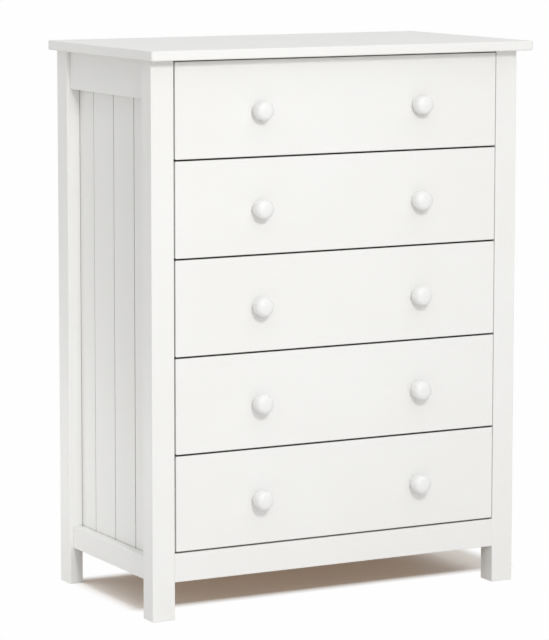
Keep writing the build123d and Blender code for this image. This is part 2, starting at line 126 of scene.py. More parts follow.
@dataclass(frozen=True)
class Outline:
    """A closed section with rounded corners, listed anticlockwise."""

    corners: tuple[Pair, ...]
    radii: tuple[float, ...]
    steps: int = 5
    least_radius: float = 0.02 * MM

    def rings(self, insets: Array) -> tuple[Array, Array]:
        """Rings of the outline, each drawn inwards by its inset.

        A corner moves by its inset times the sum of its two sides' inward normals over one plus their dot
        product. Its arc turns from one normal to the other about a centre one radius from both sides. The
        radius shrinks with the inset at an outer corner and grows at an inner one.

        Args:
            insets: one inset for each ring.

        Returns:
            The points and the outward normals, both rings by columns by 2.
        """
        corners = np.array(self.corners, float)
        sides = np.roll(corners, -1, axis=0) - corners
        sides /= np.linalg.norm(sides, axis=1, keepdims=True)
        after = np.stack([-sides[:, 1], sides[:, 0]], axis=1)
        before = np.roll(after, 1, axis=0)
        dot = np.sum(before * after, axis=1)
        cross = before[:, 0] * after[:, 1] - before[:, 1] * after[:, 0]
        convex = np.sign(cross)
        lean = (before + after) / (1 + dot)[:, None]
        inset = np.asarray(insets, float)[:, None]
        radius = np.maximum(np.array(self.radii) - convex * inset, self.least_radius)
        centre = corners + (inset + convex * radius)[..., None] * lean
        turn = np.arctan2(cross, dot)[:, None] * np.linspace(0, 1, self.steps + 1)
        angle = np.arctan2(before[:, 1], before[:, 0])[:, None] + turn
        inward = np.stack([np.cos(angle), np.sin(angle)], axis=-1)
        points = centre[:, :, None, :] - (convex * radius)[..., None, None] * inward
        rings = points.reshape(len(inset), -1, 2)
        return rings, np.broadcast_to(-inward.reshape(1, -1, 2), rings.shape)


@dataclass(frozen=True)
class Span:
    """A straight run with its two ends rounded over."""

    start: float
    end: float
    start_radius: float
    end_radius: float
    steps: int
    between: int = 0

    def rows(self) -> tuple[Array, Array, Array]:
        """The rows that carry a section along the run.

        At each end the tilt turns from the end's normal to the sides'. The inset is the end's radius times
        one minus the tilt's cosine, and the station keeps to the same quarter circle.

        Returns:
            The inset, station and tilt of each row.
        """
        quarter = np.linspace(-math.pi / 2, 0, self.steps + 1)
        first = self.start + self.start_radius * (1 + np.sin(quarter))
        last = self.end - self.end_radius * (1 + np.sin(quarter))
        middle = np.linspace(first[-1], last[-1], self.between + 2)[1:-1]
        insets = [self.start_radius * (1 - np.cos(quarter)), 0 * middle]
        insets.append(self.end_radius * (1 - np.cos(quarter[::-1])))
        tilts = [quarter, 0 * middle, -quarter[::-1]]
        return np.concatenate(insets), np.concatenate([first, middle, last[::-1]]), np.concatenate(tilts)


def with_third(flat: Array, third: Array) -> Array:
    """Rows by columns by 2 with a third coordinate, which has one value for each row."""
    return np.concatenate([flat, np.broadcast_to(third[:, None, None], (*flat.shape[:2], 1))], axis=-1)


@dataclass
class Shell:
    """A closed surface on a grid whose columns wrap round and whose first and last rows are capped."""

    points: Array
    normals: Array

    @classmethod
    def swept(cls, outline: Outline, span: Span, place: Placement) -> "Shell":
        """The outline carried along the span.

        A point is the inset outline's (u, v) at the row's station w. Its normal is the outline's normal
        times the cosine of the row's tilt, plus w times its sine.

        Args:
            outline: the section, in u and v.
            span: the run with its rounded ends, along w.
            place: where u, v and w lie.

        Returns:
            The shell.
        """
        insets, stations, tilts = span.rows()
        flat, outward = outline.rings(insets)
        normals = with_third(outward * np.cos(tilts)[:, None, None], np.sin(tilts))
        return cls(place.points(with_third(flat, stations)), normals @ place.axes)

    @classmethod
    def turned(cls, profile: Array, place: Placement, columns: int, lobes: Array | None = None) -> "Shell":
        """A (radius, station) profile turned about w.

        A point is (radius cos a, radius sin a, station), and its normal is square on to the profile. Lobes
        cut a row's radius down to their own at that angle.

        Args:
            profile: rows by 2, from one end of the piece to the other.
            place: where the axis stands and w points.
            columns: how many facets go round.
            lobes: rows by columns of largest radii, or None for a plain turning.

        Returns:
            The shell.
        """
        angle = np.linspace(0, 2 * math.pi, columns, endpoint=False)
        radius = np.repeat(profile[:, :1], columns, axis=1)
        if lobes is not None:
            radius = np.minimum(radius, lobes)
        run = np.gradient(profile, axis=0)
        slope = np.stack([run[:, 1], -run[:, 0]], axis=1)
        slope /= np.maximum(np.linalg.norm(slope, axis=1, keepdims=True), LEAST)
        ring = np.stack([np.cos(angle), np.sin(angle)], axis=1)
        points = with_third(radius[..., None] * ring, profile[:, 1])
        normals = with_third(slope[:, :1, None] * ring, slope[:, 1])
        return cls(place.points(points), normals @ place.axes)

    def faces(self) -> list[list[int]]:
        """The grid's quads and its two caps, turned round together if they disagree with the normals.

        Returns:
            The corners' numbers of each face.
        """
        rows, columns = self.points.shape[:2]
        number = np.arange(rows * columns).reshape(rows, columns)
        near, far = number[:-1], number[1:]
        quads = np.stack([near, np.roll(near, -1, 1), np.roll(far, -1, 1), far], -1).reshape(-1, 4)
        flat = self.points.reshape(-1, 3)
        diagonals = flat[quads[:, 2]] - flat[quads[:, 0]], flat[quads[:, 3]] - flat[quads[:, 1]]
        agreement = np.sum(np.cross(*diagonals) * self.normals.reshape(-1, 3)[quads[:, 0]])
        faces = quads.tolist() + [number[0][::-1].tolist(), number[-1].tolist()]
        return [face[::-1] for face in faces] if agreement < 0 else faces


def full_quarter(start: Pair, corner: Pair, end: Pair, steps: int, fullness: float = ELLIPSE) -> Array:
    """A quarter turn that leaves start, and meets end, along the corner's legs.

    It is a cubic curve. The longer its two handles are, the fuller the turn.

    Args:
        start: the first point.
        corner: where the two tangents cross.
        end: the last point.
        steps: how many pieces the quarter has.
        fullness: the handles' share of the legs.

    Returns:
        Steps plus one points by 2.
    """
    first, middle, last = (np.array(p, float) for p in (start, corner, end))
    leave, meet = first + fullness * (middle - first), last + fullness * (middle - last)
    t = np.linspace(0, 1, steps + 1)[:, None]
    return (1 - t) ** 3 * first + 3 * (1 - t) ** 2 * t * leave + 3 * (1 - t) * t**2 * meet + t**3 * last


def add_object(name: str, data: bpy.types.ID) -> Object:
    """A new object in the scene, at the origin."""
    item = bpy.data.objects.new(name, data)
    bpy.context.scene.collection.objects.link(item)
    return item


def make_piece(name: str, shells: Iterable[Shell], sharp_above: float | None = None) -> Object:
    """One object from several closed shells.

    Args:
        name: the piece's name.
        shells: its closed surfaces, with their places in the model's frame.
        sharp_above: the angle past which edges stay sharp, or None to use the shells' normals.

    Returns:
        The object, which stands at the origin.
    """
    points, normals, faces, count = [], [], [], 0
    for shell in shells:
        points.append(shell.points.reshape(-1, 3))
        normals.append(shell.normals.reshape(-1, 3))
        faces += [[count + corner for corner in face] for face in shell.faces()]
        count += len(points[-1])
    mesh = bpy.data.meshes.new(name)
    mesh.from_pydata(np.concatenate(points), [], faces)
    mesh.polygons.foreach_set("use_smooth", np.ones(len(faces), bool))
    if sharp_above is None:
        mesh.normals_split_custom_set_from_vertices(np.concatenate(normals))
    else:
        mesh.set_sharp_from_angle(angle=sharp_above)
    mesh.validate()
    return add_object(name, mesh)


# Node trees


@dataclass
class Graph:
    """A node tree that is built one node at a time."""

    tree: bpy.types.NodeTree

    @classmethod
    def cleared(cls, owner: bpy.types.ID) -> "Graph":
        """The emptied tree of a material or a world."""
        owner.use_nodes = True
        owner.node_tree.nodes.clear()
        return cls(owner.node_tree)

    def node(self, kind: str, inputs: dict[Any, Any] | None = None, **settings: Any) -> Node:
        """Adds a node.

        Args:
            kind: Blender's name of the node, without its ShaderNode prefix.
            inputs: a socket, a node or a value for each input by name or number; colours have full cover.
            settings: the node's own properties.

        Returns:
            The node.
        """
        node = self.tree.nodes.new("ShaderNode" + kind)
        for key, value in settings.items():
            setattr(node, key, value)
        for key, value in (inputs or {}).items():
            entry = node.inputs[key]
            if isinstance(value, (Node, Socket)):
                self.tree.links.new(value.outputs[0] if isinstance(value, Node) else value, entry)
            else:
                entry.default_value = (*value, 1.0) if entry.type == "RGBA" else value
        return node

    def math(self, operation: str, *values: Any) -> Socket:
        """The result of a Math node."""
        return self.node("Math", dict(enumerate(values)), operation=operation).outputs[0]

    def product(self, first: Any, *others: Any) -> Socket:
        """The values multiplied, from the left."""
        for other in others:
            first = self.math("MULTIPLY", first, other)
        return first

    def vector(self, operation: str, *values: Any, result: str = "Vector") -> Socket:
        """The Vector or the Value that a Vector Math node gives."""
        return self.node("VectorMath", dict(enumerate(values)), operation=operation).outputs[result]

    def length(self, vector: Any) -> Socket:
        """The vector's length."""
        return self.vector("LENGTH", vector, result="Value")

    def dot(self, first: Any, second: Any) -> Socket:
        """The two vectors' dot product."""
        return self.vector("DOT_PRODUCT", first, second, result="Value")

    def mix(self, factor: Any, first: Any, second: Any, kind: str = "MIX") -> Socket:
        """The colour that a Mix node makes of two colours."""
        inputs = {0: factor, 6: first, 7: second}
        return self.node("Mix", inputs, data_type="RGBA", blend_type=kind).outputs[2]

    def spread(self, value: Any, span: Reals = NOISE_SPAN, to: Reals = (0.0, 1.0)) -> Socket:
        """A value carried from one range to another and held inside it."""
        inputs = {"Value": value, "From Min": span[0], "From Max": span[1], "To Min": to[0], "To Max": to[1]}
        return self.node("MapRange", inputs).outputs[0]

    def noise(self, vector: Any, scale: float, detail: float = 3.0, roughness: float = 0.5) -> Socket:
        """The value of a noise texture."""
        inputs = {"Vector": vector, "Scale": scale, "Detail": detail, "Roughness": roughness}
        return self.node("TexNoise", inputs).outputs["Fac"]

    def facing(self, axis: str) -> Socket:
        """The part of the surface's normal along one of the object's axes."""
        return self.node("SeparateXYZ", {0: self.node("TexCoord").outputs["Normal"]}).outputs[axis]


class Effect(ABC):
    """A shader effect that finishes share as a node group; takes and gives are its sockets' names."""

    name: str
    takes: tuple[str, ...]
    gives: tuple[str, ...]

    @cached_property
    def group(self) -> bpy.types.NodeTree:
        """The effect's node group, made on first use."""
        tree = bpy.data.node_groups.new(self.name, "ShaderNodeTree")
        for names, way in ((self.takes, "INPUT"), (self.gives, "OUTPUT")):
            for name in names:
                kind = "NodeSocketVector" if name == "Vector" else "NodeSocketFloat"
                tree.interface.new_socket(name=name, in_out=way, socket_type=kind)
        entry = tree.nodes.new("NodeGroupInput")
        leave = tree.nodes.new("NodeGroupOutput")
        for name, socket in self.wire(Graph(tree), entry.outputs).items():
            tree.links.new(socket, leave.inputs[name])
        return tree

    def place(self, graph: Graph, inputs: dict[str, Any]) -> Any:
        """The outputs of the group once it is put into a tree with a socket or a value for each input."""
        return graph.node("Group", inputs, node_tree=self.group).outputs

    @abstractmethod
    def wire(self, graph: Graph, given: Any) -> dict[str, Socket]:
        """Builds the inside of the group from its inputs and names the socket behind each output."""


class WoodFigure(Effect):
    """Growth rings, fibres and pores of a sawn board whose fibres run along +Z."""

    name = "wood_figure"
    takes = ("Vector", "Ring Width", "Wander")
    gives = ("Rings", "Fibres", "Pores")
    heart = (0.043, 0.067, 0.0)
    bend_scale, bend_stretch = 6.0, 0.16
    fibre_scale, fibre_stretch = 900.0, 0.02
    pore_scale, pore_stretch, pore_cut = 1600.0, 0.07, (0.66, 0.74)
    tooth_power, tooth_edge = 3.0, (1.0, 0.93)

    def wire(self, graph: Graph, given: Any) -> dict[str, Socket]:
        """Rings: the distance from a wandering heart line over the ring width, as a rising tooth.

        Fibres are noise drawn out along the grain, and pores are short thin dashes cut from finer noise.
        """
        where = given["Vector"]
        slow, drawn, dashes = (
            graph.vector("MULTIPLY", where, (1.0, 1.0, stretch))
            for stretch in (self.bend_stretch, self.fibre_stretch, self.pore_stretch)
        )
        bend = graph.node("TexNoise", {"Vector": slow, "Scale": self.bend_scale, "Detail": 2.0}).outputs["Color"]
        centred = graph.vector("SUBTRACT", bend, (0.5, 0.5, 0.5))
        pull = graph.node("VectorMath", {0: centred, "Scale": given["Wander"]}, operation="SCALE").outputs[0]
        offset = graph.vector("ADD", graph.vector("ADD", where, pull), self.heart)
        distance = graph.length(graph.vector("MULTIPLY", offset, (1.0, 1.0, 0.0)))
        tooth = graph.math("FRACT", graph.math("DIVIDE", distance, given["Ring Width"]))
        late = graph.math("POWER", tooth, self.tooth_power)
        return {
            "Rings": graph.product(late, graph.spread(tooth, self.tooth_edge)),
            "Fibres": graph.noise(drawn, self.fibre_scale, roughness=0.6),
            "Pores": graph.spread(graph.noise(dashes, self.pore_scale, detail=1.0), self.pore_cut),
        }


class PaintSkin(Effect):
    """The skin of sprayed and rubbed-down paint: orange peel, faint grain under it and slow tone."""

    name = "paint_skin"
    takes = ("Vector", "Rings", "Fibres", "Peel", "Print")
    gives = ("Height", "Tone", "Gloss")
    peel_scale, cloud_scale, rub_scale = 620.0, 3.1, 38.0
    fibre_share = 0.6

    def wire(self, graph: Graph, given: Any) -> dict[str, Socket]:
        """Height: orange peel times Peel, plus the wood's rings and fibres times Print."""
        where, fibres = given["Vector"], given["Fibres"]
        peel = graph.product(graph.noise(where, self.peel_scale, detail=2.0, roughness=0.45), given["Peel"])
        wood = graph.math("ADD", given["Rings"], graph.product(fibres, self.fibre_share))
        clouds = graph.noise(where, self.cloud_scale, roughness=0.55)
        streaks = graph.product(graph.math("SUBTRACT", fibres, 0.5), given["Print"])
        return {
            "Height": graph.math("MULTIPLY_ADD", wood, given["Print"], peel),
            "Tone": graph.math("ADD", graph.spread(clouds), streaks),
            "Gloss": graph.noise(where, self.rub_scale, detail=4.0, roughness=0.6),
        }


class EdgeAndCrevice(Effect):
    """Masks of the edges that hands rub and of the occluded corners, where the finishes lay dust and painted
    shade.
    """

    name = "edge_and_crevice"
    takes = ("Vector", "Edge Width", "Reach")
    gives = ("Edge", "Crevice")
    lean_span, shut_span = (0.99, 0.8), (0.75, 0.2)
    patch_scale, patch_span = 70.0, (0.42, 0.62)

    def wire(self, graph: Graph, given: Any) -> dict[str, Socket]:
        """Edge: how far the rounded normal leans from the true one, broken up by noise.

        Crevice is what occlusion within the reach takes away.
        """
        rounded = graph.node("Bevel", {"Radius": given["Edge Width"]}, samples=4).outputs[0]
        true = graph.node("NewGeometry").outputs["True Normal"]
        lean = graph.spread(graph.dot(rounded, true), self.lean_span)
        broken = graph.noise(given["Vector"], self.patch_scale, detail=4.0, roughness=0.6)
        patches = graph.spread(broken, self.patch_span)
        shut = graph.node("AmbientOcclusion", {"Distance": given["Reach"]}, samples=6).outputs["AO"]
        return {"Edge": graph.product(lean, patches), "Crevice": graph.spread(shut, self.shut_span)}


WOOD_FIGURE = WoodFigure()
PAINT_SKIN = PaintSkin()
EDGE_AND_CREVICE = EdgeAndCrevice()


# Finishes


@dataclass(frozen=True)
class Finish(ABC):
    """A finish for any piece: rough is its range of roughness, and height and relief are its bumps' size."""

    name: str
    slot: str
    rough: Pair
    height: float
    relief: float = 1.0
    metallic: float = 0.0

    @cached_property
    def material(self) -> bpy.types.Material:
        """The finish's material, made on first use."""
        material = bpy.data.materials.new("finish_" + self.name)
        graph = Graph.cleared(material)
        shader = self.shade(graph, graph.node("TexCoord").outputs["Object"])
        graph.node("OutputMaterial", {"Surface": shader})
        return material

    def lay(self, piece: Object) -> None:
        """Puts the finish in every material slot of the piece."""
        if not piece.material_slots:
            piece.data.materials.append(None)
        for slot in piece.material_slots:
            slot.material = self.material

    def surface(self, graph: Graph, colour: Any, gloss: Any, bumps: Any, span: Pair = NOISE_SPAN) -> Node:
        """The shader, rough by the gloss value within its span and raised by the bumps."""
        rough = graph.spread(gloss, span, self.rough)
        bump = graph.node("Bump", {"Height": bumps, "Distance": self.height, "Strength": self.relief})
        inputs = {"Base Color": colour, "Roughness": rough, "Normal": bump, "Metallic": self.metallic}
        return graph.node("BsdfPrincipled", inputs)

    @abstractmethod
    def shade(self, graph: Graph, where: Socket) -> Node:
        """Wires the finish on object coordinates and gives its shader."""


@dataclass(frozen=True)
class WoodFinish(Finish):
    """A finish in which the wood's figure shows."""

    grain: Grain = Grain.ALONG_Z
    ring_width: float = 4.5 * MM
    wander: float = 0.03
    edge_width: float = 1.2 * MM
    reach: float = 6.0 * MM

    def figure(self, graph: Graph, where: Socket) -> Any:
        """The figure's outputs, with the fibres along the grain."""
        turned = graph.node("Mapping", {"Vector": where, "Rotation": self.grain.value}).outputs[0]
        return WOOD_FIGURE.place(graph, {"Vector": turned, "Ring Width": self.ring_width, "Wander": self.wander})

    def masks(self, graph: Graph, where: Socket) -> Any:
        """The masks of rubbed edges and of corners within reach of other faces."""
        inputs = {"Vector": where, "Edge Width": self.edge_width, "Reach": self.reach}
        return EDGE_AND_CREVICE.place(graph, inputs)


@dataclass(frozen=True)
class Paint(WoodFinish):
    """White paint over wood whose grain prints through a little."""

    rough: Pair = (0.36, 0.44)
    height: float = 0.06 * MM
    colour: Colour = (0.845, 0.845, 0.832)
    shade_colour: Colour = (0.828, 0.825, 0.808)
    peel: float = 0.35
    print_through: float = 0.5
    wear: float = 0.08
    wear_colour: Colour = (0.70, 0.67, 0.60)
    # dust and painted shade: a darker colour mixed in where the occlusion mask finds corners
    dust_and_shade: float = 0.12
    dust_and_shade_colour: Colour = (0.46, 0.42, 0.36)
    # painted shade: a near-black colour laid on level faces where occlusion is high, inside the gaps round the
    # drawer fronts
    ledge_shade: float = 0.0
    ledge_shade_colour: Colour = (0.04, 0.036, 0.03)

    def shade(self, graph: Graph, where: Socket) -> Node:
        """Slow tone, greyer edges, dust and painted shade in corners, near-black painted shade on level faces in
        gaps, peel and print as bumps.
        """
        wood = self.figure(graph, where)
        sockets = {"Vector": where, "Rings": wood["Rings"], "Fibres": wood["Fibres"]}
        skin = PAINT_SKIN.place(graph, {**sockets, "Peel": self.peel, "Print": self.print_through})
        masks = self.masks(graph, where)
        base = graph.mix(skin["Tone"], self.colour, self.shade_colour)
        worn = graph.mix(graph.product(masks["Edge"], self.wear), base, self.wear_colour)
        dusty_and_shaded = graph.mix(graph.product(masks["Crevice"], self.dust_and_shade), worn, self.dust_and_shade_colour)
        # painted shade: darkens the level faces inside the gaps towards near black
        if self.ledge_shade:
            level = graph.math("ABSOLUTE", graph.facing("Z"))
            share = graph.product(masks["Crevice"], level, self.ledge_shade)
            dusty_and_shaded = graph.mix(share, dusty_and_shaded, self.ledge_shade_colour)
        return self.surface(graph, dusty_and_shaded, skin["Gloss"], skin["Height"])


@dataclass(frozen=True)
class BarePine(WoodFinish):
    """Planed pine under a thin clear lacquer."""

    rough: Pair = (0.42, 0.56)
    height: float = 0.12 * MM
    relief: float = 0.8
    ring_width: float = 4.2 * MM
    wander: float = 0.05
    edge_width: float = 1.0 * MM
    reach: float = 10.0 * MM
    early: Colour = (0.62, 0.46, 0.29)
    late: Colour = (0.43, 0.26, 0.12)
    cloud_colour: Colour = (0.66, 0.47, 0.26)
    cloud_scale: float = 4.0
    clouds: float = 0.35
    fibre_span: Pair = (0.9, 1.05)
    # dust and painted shade: dark brown mixed in where the occlusion mask finds corners
    dust_and_shade: float = 0.3
    dust_and_shade_colour: Colour = (0.20, 0.14, 0.09)
    ring_sink: float = -0.7

    def shade(self, graph: Graph, where: Socket) -> Node:
        """Pale early wood and darker late wood by the rings, toned by slow clouds and fine fibres."""
        wood, masks = self.figure(graph, where), self.masks(graph, where)
        base = graph.mix(wood["Rings"], self.early, self.late)
        clouds = graph.spread(graph.noise(where, self.cloud_scale), to=(0.0, self.clouds))
        toned = graph.mix(clouds, base, self.cloud_colour)
        fibred = graph.mix(1.0, toned, graph.spread(wood["Fibres"], to=self.fibre_span), "MULTIPLY")
        dusty_and_shaded = graph.mix(graph.product(masks["Crevice"], self.dust_and_shade), fibred, self.dust_and_shade_colour)
        bumps = graph.math("ADD", wood["Fibres"], graph.product(wood["Rings"], self.ring_sink))
        return self.surface(graph, dusty_and_shaded, wood["Fibres"], bumps)


@dataclass(frozen=True)
class Plywood(WoodFinish):
    """Thin plywood: a peeled face veneer, and bands of plies on the edges."""

    rough: Pair = (0.5, 0.62)
    height: float = 0.1 * MM
    relief: float = 0.7
    grain: Grain = Grain.ALONG_X
    ring_width: float = 16.0 * MM
    wander: float = 0.12
    face: Colour = (0.66, 0.50, 0.32)
    vein: Colour = (0.52, 0.36, 0.20)
    pore_colour: Colour = (0.33, 0.21, 0.11)
    pale_ply: Colour = (0.60, 0.43, 0.25)
    dark_ply: Colour = (0.30, 0.19, 0.10)
    fibre_span: Pair = (0.93, 1.04)
    pores: float = 0.4
    ply: float = 1.33 * MM
    cut: Pair = (0.4, 0.6)

    def shade(self, graph: Graph, where: Socket) -> Node:
        """Broad cathedral figure on the faces and a light and dark stripe per ply on the edges."""
        wood = self.figure(graph, where)
        face = graph.mix(wood["Rings"], self.face, self.vein)
        fibred = graph.mix(1.0, face, graph.spread(wood["Fibres"], to=self.fibre_span), "MULTIPLY")
        pored = graph.mix(graph.product(wood["Pores"], self.pores), fibred, self.pore_colour)
        height = graph.node("SeparateXYZ", {0: where}).outputs["Z"]
        band = graph.math("PINGPONG", graph.math("DIVIDE", height, self.ply), 1.0)
        plies = graph.mix(graph.spread(band, self.cut), self.pale_ply, self.dark_ply)
        level = graph.math("ABSOLUTE", graph.facing("Z"))
        base = graph.mix(graph.spread(level, self.cut), plies, pored)
        return self.surface(graph, base, wood["Fibres"], wood["Fibres"])


@dataclass(frozen=True)
class Hardboard(Finish):
    """Hardboard that is lacquered white behind and bare brown fibre inside and on its edges."""

    rough: Pair = (0.45, 0.6)
    height: float = 0.08 * MM
    relief: float = 0.6
    lacquer: Colour = (0.80, 0.79, 0.76)
    lacquer_shade: Colour = (0.77, 0.755, 0.72)
    fibre: Colour = (0.34, 0.23, 0.14)
    fibre_fleck: Colour = (0.45, 0.32, 0.20)
    mat_scale: float = 260.0
    mat_twist: float = 1.4
    cloud_scale: float = 5.0
    cut: Pair = (0.4, 0.6)

    def shade(self, graph: Graph, where: Socket) -> Node:
        """White where the face looks backwards, with a fine mesh of matted fibres under it."""
        inputs = {"Vector": where, "Scale": self.mat_scale, "Detail": 5.0, "Distortion": self.mat_twist}
        flecks = graph.spread(graph.node("TexNoise", inputs).outputs["Fac"], FLECK_SPAN)
        brown = graph.mix(flecks, self.fibre, self.fibre_fleck)
        white = graph.mix(graph.spread(graph.noise(where, self.cloud_scale)), self.lacquer, self.lacquer_shade)
        base = graph.mix(graph.spread(graph.facing("Y"), self.cut), brown, white)
        return self.surface(graph, base, flecks, flecks, span=(0.0, 1.0))


@dataclass(frozen=True)
class ZincPlate(Finish):
    """Zinc plating with a faint straw and blue bloom."""

    rough: Pair = (0.28, 0.46)
    height: float = 0.03 * MM
    relief: float = 0.5
    metallic: float = 1.0
    cool: Colour = (0.66, 0.68, 0.70)
    warm: Colour = (0.72, 0.68, 0.58)
    bloom_scale: float = 420.0
    scuff_scale: float = 2600.0

    def shade(self, graph: Graph, where: Socket) -> Node:
        """The bloom drifts between two tints and the plating is scuffed finely."""
        bloom = graph.spread(graph.noise(where, self.bloom_scale, detail=2.0), FLECK_SPAN)
        scuff = graph.noise(where, self.scuff_scale, roughness=0.6)
        return self.surface(graph, graph.mix(bloom, self.cool, self.warm), scuff, scuff)


PAINTS = {grain: Paint(f"white_paint_{grain.name.lower()}", "white_paint", grain=grain) for grain in Grain}
# the drawer fronts carry near-black painted shade on the level faces inside their gaps
FRONT_PAINT = Paint("front_paint", "white_paint", grain=Grain.ALONG_X, ledge_shade=0.97)
# a strong near-black mix in occluded corners: painted shade that darkens the V-grooves between the boards
BOARD_PAINT = Paint("board_paint", "white_paint", dust_and_shade=0.9, dust_and_shade_colour=(0.10, 0.09, 0.075))
KNOB_PAINT = Paint(
    "knob_paint",
    "knob_paint",
    grain=Grain.ALONG_Y,
    colour=(0.828, 0.829, 0.828),
    shade_colour=(0.819, 0.820, 0.817),
    peel=0.2,
    print_through=0.12,
)
PINES = {grain: BarePine(f"bare_pine_{grain.name.lower()}", "bare_pine", grain=grain) for grain in Grain}
PLYWOOD = Plywood("plywood", "plywood")
HARDBOARD = Hardboard("hardboard", "hardboard")
ZINC = ZincPlate("zinc_plate", "zinc_steel")


# Sub-assemblies


@dataclass(frozen=True)
class Bar:
    """A straight bar with rounded edges whose length runs along its place's w.

    Radii are its long edges', anticlockwise from the lowest u and v, and ends are its two ends'. Between
    is how many rows divide the length, and tenon is how much of it is hidden at each end.
    """

    place: Placement
    radii: Reals
    ends: Pair
    steps: int = 5
    end_steps: int = 4
    between: int = 0
    tenon: float = 0.0


@dataclass
class SubAssembly(ABC):
    """A group of the chest's pieces that is built and dressed together."""

    body: str = field(default="case", kw_only=True)

    def show(self, piece: Object, finish: Finish) -> None:
        """Lays a finish on a piece and logs it."""
        finish.lay(piece)
        LOG.info("%s: %s on %s, %d faces", type(self).__name__, piece.name, self.body, len(piece.data.polygons))

    def stand_for(self, node: str, shells: Iterable[Shell], finish: Finish, sharp: float | None = None) -> None:
        """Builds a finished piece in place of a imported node.

        Args:
            node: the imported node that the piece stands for.
            shells: the piece's closed surfaces.
            finish: what is laid on it.
            sharp: the angle past which its edges stay sharp, or None for the shells' own normals.
        """
        piece = make_piece("finished_" + node, shells, sharp)
        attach(piece, self.body)
        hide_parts(node)
        self.show(piece, finish)

    def stand_bar(self, node: str, bar: Bar, finish: Finish) -> None:
        """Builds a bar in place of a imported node, and as large as it is."""
        low, high = (bar.place.axes @ np.array(corner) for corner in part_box(node))
        corners = (low[:2], (high[0], low[1]), high[:2], (low[0], high[1]))
        outline = Outline(corners, tuple(bar.radii), bar.steps)
        span = Span(low[2] + bar.tenon, high[2] - bar.tenon, *bar.ends, bar.end_steps, bar.between)
        self.stand_for(node, [Shell.swept(outline, span, bar.place)], finish)

    def keep(self, node: str, finish: Finish) -> None:
        """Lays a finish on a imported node, which stays as it is."""
        self.show(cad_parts[node], finish)

    @abstractmethod
    def build(self) -> None:
        """Builds and dresses the pieces."""


@dataclass
class TopPanel(SubAssembly):
    """The overhanging top."""

    corner_radius: float = 5.0 * MM
    upper_radius: float = 1.6 * MM
    lower_radius: float = 2.6 * MM

    def build(self) -> None:
        """A slab with rounded corners whose upper and lower edges are rounded over."""
        bar = Bar(UPRIGHT, [self.corner_radius] * 4, (self.lower_radius, self.upper_radius), steps=8, end_steps=5)
        self.stand_bar("top_panel", bar, PAINTS[Grain.ALONG_X])


@dataclass
class Posts(SubAssembly):
    """The two front legs and the two rear legs, which run from the floor to the top."""

    outer_radius: float = 1.6 * MM
    inner_radius: float = 0.8 * MM
    foot_radius: float = 1.2 * MM
    head_radius: float = 0.05 * MM

    def build(self) -> None:
        """Eased front posts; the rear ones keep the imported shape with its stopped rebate."""
        outer, inner, finish = self.outer_radius, self.inner_radius, PAINTS[Grain.ALONG_Z]
        for side in Side:
            radii = [outer, inner, inner, outer] if side is Side.LEFT else [inner, outer, outer, inner]
            bar = Bar(UPRIGHT, radii, (self.foot_radius, self.head_radius), between=9)
            self.stand_bar(f"front_post_{side.word}", bar, finish)
            self.keep(f"rear_post_{side.word}", finish)


@dataclass
class CaseRails(SubAssembly):
    """The painted rails between the posts: two on each side and one under the drawers."""

    edge_radius: float = 1.2 * MM
    back_radius: float = 0.3 * MM
    end_radius: float = 0.05 * MM
    tenon_length: float = 15.0 * MM

    def rail(self, place: Placement, radii: Reals, between: int) -> Bar:
        """A rail from post to post."""
        ends = (self.end_radius, self.end_radius)
        return Bar(place, radii, ends, end_steps=1, between=between, tenon=self.tenon_length)

    def build(self) -> None:
        """The four side rails and the front rail, with their outer long edges eased."""
        eased, plain = self.edge_radius, self.back_radius
        for side in Side:
            radii = [eased, eased, plain, plain] if side is Side.LEFT else [plain, plain, eased, eased]
            for level in ("top", "bottom"):
                bar = self.rail(FORE_AND_AFT, radii, between=3)
                self.stand_bar(f"side_{level}_rail_{side.word}", bar, PAINTS[Grain.ALONG_Y])
        bar = self.rail(ACROSS, [eased, plain, plain, eased], between=7)
        self.stand_bar("front_bottom_rail", bar, PAINTS[Grain.ALONG_X])


